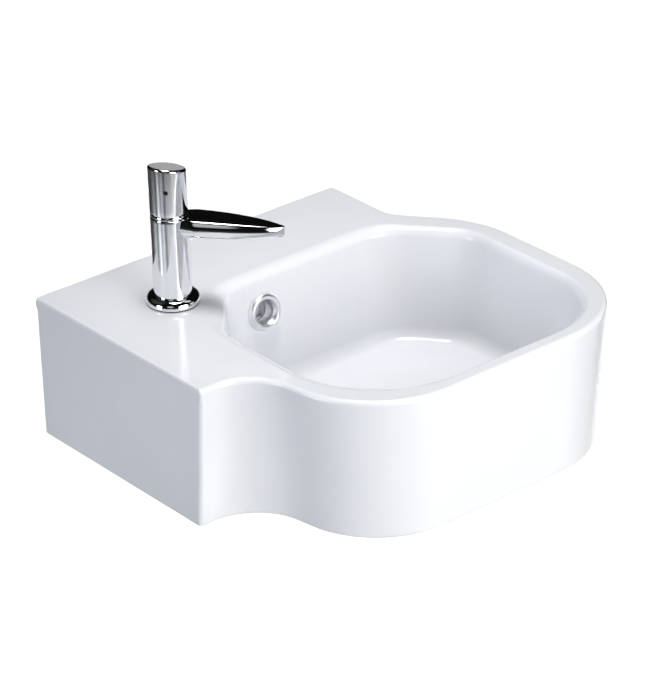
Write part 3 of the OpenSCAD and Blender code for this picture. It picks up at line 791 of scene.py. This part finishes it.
def make_tail():
    n = 72
    rows = [(6.5, -62), (9.2, -62), (9.6, -61.6)]
    rows += threaded(10.48, 0.95, -60.8, -30.5, 1.814, n)
    rows += [(9.58, -29.9), (9.58, -29), (10.4, -28.4)]
    rows += threaded(10.48, 0.95, -28.2, -2.5, 1.814, n)
    rows += [(10.48, -1), (10.48, 15.2), (10.3, 15.4), (6.7, 15.4), (6.5, 15.2), (6.5, -20)]
    o = turned("tap_tail_threaded", rows, [MATS["brass"]], n, TAP)
    return finish_piece(o, "basin", "brass", "tap_tail", angle=38, weighted=False)


def hex_nut(name, af, ri, z0, z1, centre, body, slot, node, groove=True):
    n = 120
    t = np.degrees(np.arange(n) * 2 * math.pi / n)
    a = (t + 30) % 60 - 30
    # the CAD nut has a corner on +X, so its flats are at 30, 90, ...
    rh = af / 2 / np.cos(np.radians((t % 60) - 30))
    rc = af / 2 * 0.985
    def ztop(r): return z1 - np.maximum(0, r - rc) * 0.5
    def zbot(r): return z0 + np.maximum(0, r - rc) * 0.5
    inner = np.minimum(rh, rc)
    rows = [(ri + 0.7, z0), (inner, z0), (rh * 0.995, zbot(rh)), (rh, zbot(rh) + 0.25), (rh, ztop(rh) - 0.25), (rh * 0.995, ztop(rh)), (inner, z1), (ri + 0.7, z1), (ri, z1 - 0.7)]
    k = int((z1 - z0 - 1.4) / 0.9)
    for i in range(1, k):
        rows.append((ri + (0.0 if i % 2 else 0.35), z1 - 0.7 - (z1 - z0 - 1.4) * i / k))
    rows.append((ri, z0 + 0.7))
    o = turned(name, rows, [MATS[slot]], n, centre)
    return finish_piece(o, body, slot, node, angle=25, weighted=True)


WASTE = (215.0, -270.0)


def make_waste():
    n = 96
    rows = [(17.5, -107.5), (17.5, -150), (17.5, -184.6), (17.9, -185), (19.6, -185), (20.2, -184.6)]
    rows += threaded(20.95, 1.15, -184, -143, 2.309, n)
    rows += [(20.15, -142.4), (20.15, -141.4), (20.85, -140.9)]
    rows += threaded(20.95, 1.15, -140.8, -118.5, 2.309, n)
    rows += [(20.95, -117), (20.95, -102.3), (21.2, -102), (30.9, -102), (31.3, -101.8), (31.5, -101.4), (31.5, -100.4), (31.35, -99.8), (30.9, -99.2),
             (30.2, -98.8), (29.2, -98.55), (28.2, -98.42), (27.3, -98.5), (26.2, -98.8), (24.9, -99.5), (23.4, -100.6), (21.6, -102.2), (20, -103.7), (18.5, -105.6), (17.75, -106.8)]
    o = turned("waste_body_polished", rows, [MATS["chrome"], MATS["brass"]], n, WASTE)
    hub = lathe_solid("hub", [(0, -134), (10.1, -134), (10.5, -133.6), (10.5, -126.4), (10.1, -126), (0, -126)], [MATS["brass"]], 64, WASTE)
    for k in range(3):
        v, f, m = skin(rbox(4, 18.6, -1.6, 1.6, -134, -126, 0.5, 0.6))
        arm = new_object("arm", v, f, [MATS["brass"]])
        arm.data.transform(Matrix.Translation((*WASTE, 0)) @ Matrix.Rotation(math.radians(90 + 120 * k), 4, "Z"))
        boolean(hub, "UNION", arm)
    boolean(o, "UNION", hub)
    boolean(o, "DIFFERENCE", lathe_solid("guide", [(0, -140), (8.05, -140), (8.05, -120), (0, -120)], [MATS["brass"]], 48, WASTE))
    for k in range(4):
        v, f, m = skin(rbox(10, 30, -5, 5, -117, -108, 2.0, 0.6))
        s = new_object("slot", v, f, [MATS["chrome"]])
        s.data.transform(Matrix.Translation((*WASTE, 0)) @ Matrix.Rotation(math.radians(12 + 90 * k), 4, "Z"))
        boolean(o, "DIFFERENCE", s)
    o.data.transform(Matrix.Translation((0, 0, SINK)))
    return finish_piece(o, "basin", "chrome", "waste_body", angle=38, weighted=False)


def make_plug_cap():
    p = [(3.55, -94), (5.5, -94), (6, -93.5), (6, -90.6), (6.6, -90), (26.6, -90), (26.6, -88.6), (28.6, -88.6), (28.6, -90), (29.3, -90), (29.7, -89.8), (30, -89.2)]
    p += [(30 * math.cos(math.radians(t * 0.99)), -88.6 + 4.6 * math.sin(math.radians(t))) for t in range(0, 90, 5)]
    p += [(0.6, -84.0), (0.6, -89.5), (3.55, -90.3)]
    # a closed cap: the stem's socket is blind
    prof = [(0, -90.3), (3.4, -90.3), (3.55, -90.5)] + p[:-3] + [(0, -84.0)]
    rows = prof[1:-1] + [(0.8, -84.0)]
    o = lathe_solid("plug_cap_polished", [(0, -90.3)] + rows + [(0, -84.0)], CHROME, 128, WASTE)
    fix_normals(o)
    o.data.transform(Matrix.Translation((0, 0, SINK)))
    return finish_piece(o, "plug", "chrome", "plug_cap")


def make_spring():
    """Round wire, coiled between the guide and the cap."""
    turns, per, sides, wire, radius, z0, z1 = 6, 40, 10, 0.6, 5.2, -111.3, -94.8
    v, f = [], []
    for i in range(turns * per + 1):
        a = 2 * math.pi * i / per
        for k in range(sides):
            b = 2 * math.pi * k / sides
            r = radius + wire * math.cos(b)
            v.append((WASTE[0] + r * math.cos(a), WASTE[1] + r * math.sin(a), SINK + z0 + (z1 - z0) * i / (turns * per) + wire * math.sin(b)))
    for i in range(turns * per):
        for k in range(sides):
            p, q = i * sides + k, i * sides + (k + 1) % sides
            f.append((p, p + sides, q + sides, q))
    f.append(tuple(range(sides)))
    f.append(tuple(range(len(v) - 1, len(v) - 1 - sides, -1)))
    o = new_object("plug_spring_wire", v, f, [MATS["stainless"]])
    fix_normals(o)
    finish_piece(o, "basin", "stainless", "plug_spring", angle=50, weighted=False)
    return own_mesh(o)


make_tail()
make_waste()
make_plug_cap()
make_spring()
hex_nut("tap_back_nut_turned", 30, 10.52, -23.5, -15.5, TAP, "basin", "brass", "tap_back_nut")
hex_nut("waste_back_nut_turned", 54, 21.0, SINK - 139.6, SINK - 129.6, WASTE, "basin", "brass", "waste_back_nut")

for name, o in NODES.items():
    if not o.hide_render:
        o.data.polygons.foreach_set("use_smooth", [True] * len(o.data.polygons))
        o.data.set_sharp_from_angle(angle=math.radians(30))

# ------------------------------------------------------------------- stage ---
FLOOR_Z = -0.79


def make_floor():
    n = 24
    half = 9.0
    v, f = [], []
    for j in range(n + 1):
        for i in range(n + 1):
            v.append((-half + 2 * half * i / n + 1.0, -half + 2 * half * j / n + 1.0, FLOOR_Z))
    for j in range(n):
        for i in range(n):
            a = j * (n + 1) + i
            f.append((a, a + 1, a + n + 2, a + n + 1))
    o = new_object("studio_floor", v, f, [MATS["floor"]])
    return o


make_floor()


def area(name, loc, aim, size, power, colour=(1, 1, 1), size_y=None):
    d = bpy.data.lights.new(name, "AREA")
    d.energy = power
    d.color = colour
    d.shape = "RECTANGLE"
    d.size = size
    d.size_y = size_y or size
    o = bpy.data.objects.new(name, d)
    o.location = loc
    o.rotation_mode = "QUATERNION"
    o.rotation_quaternion = (Vector(aim) - Vector(loc)).to_track_quat("-Z", "Y")
    SCENE.collection.objects.link(o)
    return o


AIM = Vector((0.03, -0.2, 0.0))


def softbox(name, az, el, power, size=1.5, dist=2.4, spread=180):
    a, b = math.radians(az), math.radians(el)
    d = Vector((math.cos(a) * math.cos(b), math.sin(a) * math.cos(b), math.sin(b)))
    o = area(name, AIM + d * dist, AIM, size, power)
    o.data.spread = math.radians(spread)
    return o


def floor_patch(name, az, r, power, long=0.7, wide=0.5, spread=50, height=0.9, yaw=None, colour=(1, 1, 1)):
    """A shaded light above the floor, r metres from the tap in direction az, long outwards."""
    a = math.radians(az)
    o = area(name, (0, 0, 0), (0, 0, -1), long, power, colour, wide)
    o.location = (-0.091 + r * math.cos(a), -0.095 + r * math.sin(a), FLOOR_Z + height)
    o.rotation_mode = "XYZ"
    o.rotation_euler = (0, 0, a if yaw is None else math.radians(yaw))
    o.data.spread = math.radians(spread)
    return o


COOL = (0.94, 0.985, 1.07)
softbox("soft_front_wide", -85, 8, 15.1)
softbox("soft_front", -95, 12, 7.1, 1.2, spread=120)
softbox("soft_front_high", -85, 22, 4.0, 1.2, spread=90)
softbox("soft_top", 0, 88, 2.7, 0.9, spread=40)
softbox("soft_left", 170, 12, 1.4, 0.8, spread=40).data.color = COOL
softbox("soft_back", 55, 66, 0.37, 0.8, spread=36)
softbox("soft_right", -45, 15, 0.1, 0.9, spread=40)
floor_patch("floor_back", 48, 1.95, 26.0, 3.4, 2.0, 60, 0.45, yaw=51.5)
floor_patch("floor_left", 172, 1.75, 1.8, colour=COOL)
floor_patch("floor_front_left", -165, 1.75, 1.15, colour=COOL)
floor_patch("floor_front", -130, 1.7, 1.7, 0.8, 1.0, colour=COOL)
floor_patch("floor_left_back", 140, 1.55, 2.0, 0.6, 0.6, 50, 1.3, colour=COOL)
floor_patch("floor_front_middle", -100, 1.6, 2.7, 0.6, 0.6, 50, 1.3)
floor_patch("floor_front_right", -65, 1.6, 9.9, 0.6, 0.6, 50, 1.3)

world = bpy.data.worlds.new("studio")
SCENE.world = world
world.use_nodes = True
wt = world.node_tree
bg = wt.nodes["Background"]
wdir = wt.nodes.new("ShaderNodeTexCoord").outputs["Generated"]


def lobe(az, el, width):
    """1 within about width degrees of a direction, falling softly to 0."""
    a, b = math.radians(az), math.radians(el)
    dot = wt.nodes.new("ShaderNodeVectorMath")
    dot.operation = "DOT_PRODUCT"
    dot.inputs[1].default_value = (math.cos(a) * math.cos(b), math.sin(a) * math.cos(b), math.sin(b))
    wt.links.new(wdir, dot.inputs[0])
    mr = wt.nodes.new("ShaderNodeMapRange")
    mr.interpolation_type = "SMOOTHSTEP"
    mr.inputs["From Min"].default_value = math.cos(math.radians(width * 1.3))
    mr.inputs["From Max"].default_value = math.cos(math.radians(width * 0.7))
    wt.links.new(dot.outputs["Value"], mr.inputs["Value"])
    return mr.outputs["Result"]


def wmath(op, a, b):
    q = wt.nodes.new("ShaderNodeMath")
    q.operation = op
    for k, x in enumerate((a, b)):
        if isinstance(x, (int, float)):
            q.inputs[k].default_value = x
        else:
            wt.links.new(x, q.inputs[k])
    return q.outputs[0]


glow = wmath("ADD", 0.004, wmath("MULTIPLY", lobe(130, 45, 24), 0.038))
glow = wmath("ADD", glow, wmath("MULTIPLY", lobe(49, 3, 10), 0.4))
glow = wmath("ADD", glow, wmath("MULTIPLY", lobe(-141, 26, 12), 0.45))
wt.links.new(glow, bg.inputs["Color"])
bg.inputs["Strength"].default_value = 1.0

SCENE.view_settings.view_transform = "Standard"
SCENE.view_settings.look = "None"
SCENE.view_settings.exposure = 0.0
SCENE.view_settings.gamma = 1.0

# ------------------------------------------------------------------ camera ---
cam_data = bpy.data.cameras.new("camera")
cam = bpy.data.objects.new("camera", cam_data)
SCENE.collection.objects.link(cam)
cam_data.sensor_width = 36.0
cam_data.sensor_fit = "AUTO"
cam_data.lens = 178.803
cam_data.clip_start = 0.05
cam_data.clip_end = 60
right = Vector((0.76952962, -0.63804267, -0.02693894))
up = Vector((0.31372614, 0.34096265, 0.88618304))
back = -Vector((0.55623743, 0.69039555, -0.46255152))
rot = Matrix((right, up, back)).transposed()
cam.rotation_mode = "QUATERNION"
cam.rotation_quaternion = rot.to_quaternion()
cam.location = (-1.801253, -2.436349, 1.514801)
SCENE.camera = cam
